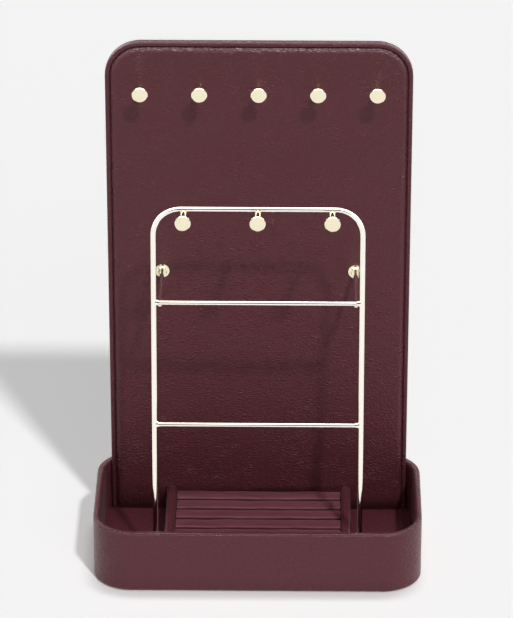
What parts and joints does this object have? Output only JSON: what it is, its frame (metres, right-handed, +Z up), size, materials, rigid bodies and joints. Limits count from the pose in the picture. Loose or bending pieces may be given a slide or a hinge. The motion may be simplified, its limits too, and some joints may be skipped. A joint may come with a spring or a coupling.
{
  "type": "jewellery stand",
  "caption": "Covered tray with side bins and a lift-out ring-roll pad, a tall back panel with disc-headed pegs, and a wire hoop with crossbars standing in front of it.",
  "frame": {"origin": "centre of the tray's footprint, on the underside of its felt base", "axes": "+X to the right seen from the front, +Y towards the back panel, +Z up"},
  "size_m": [0.2126, 0.1096, 0.3439],
  "materials": {
    "leatherette": "pebbled burgundy, low sheen",
    "velvet": "short burgundy pile",
    "felt": "plain black felt",
    "gold": "polished pale gold plate",
    "board": "plain fibreboard",
    "steel": "zinc plated"
  },
  "bodies": {
    "stand": {"back_rail": "board", "base_felt": "felt", "face_board": "board", "face_cover": "leatherette", "floor_board": "board", "floor_lining": "leatherette", "floor_screws": "steel", "hoop_peg_head_centre": "gold", "hoop_peg_head_left": "gold", "hoop_peg_head_right": "gold", "hoop_peg_stem_centre": "gold", "hoop_peg_stem_left": "gold", "hoop_peg_stem_right": "gold", "left_divider": "leatherette", "left_flange": "gold", "left_standoff_rod": "gold", "leg_screws": "steel", "lower_crossbar": "gold", "outer_band": "leatherette", "panel_core": "board", "panel_cover": "leatherette", "panel_peg_head_1": "gold", "panel_peg_head_2": "gold", "panel_peg_head_3": "gold", "panel_peg_head_4": "gold", "panel_peg_head_5": "gold", "panel_peg_stem_1": "gold", "panel_peg_stem_2": "gold", "panel_peg_stem_3": "gold", "panel_peg_stem_4": "gold", "panel_peg_stem_5": "gold", "peg_screws": "steel", "rail_screws": "steel", "right_divider": "leatherette", "right_flange": "gold", "right_standoff_rod": "gold", "standoff_screws": "steel", "tray_cover": "leatherette", "upper_crossbar": "gold", "wall_core": "board", "wire_hoop": "gold"},
    "ring_pad": {"pad_board": "board", "ring_roll_1": "velvet", "ring_roll_2": "velvet", "ring_roll_3": "velvet", "ring_roll_4": "velvet", "ring_roll_5": "velvet", "ring_roll_6": "velvet", "ring_roll_7": "velvet"}
  },
  "joints": [
    {"name": "ring_pad_lift", "type": "slide", "parent": "stand", "child": "ring_pad", "axis": [0, 0, 1], "range_m": [0, 0.06]}
  ]
}
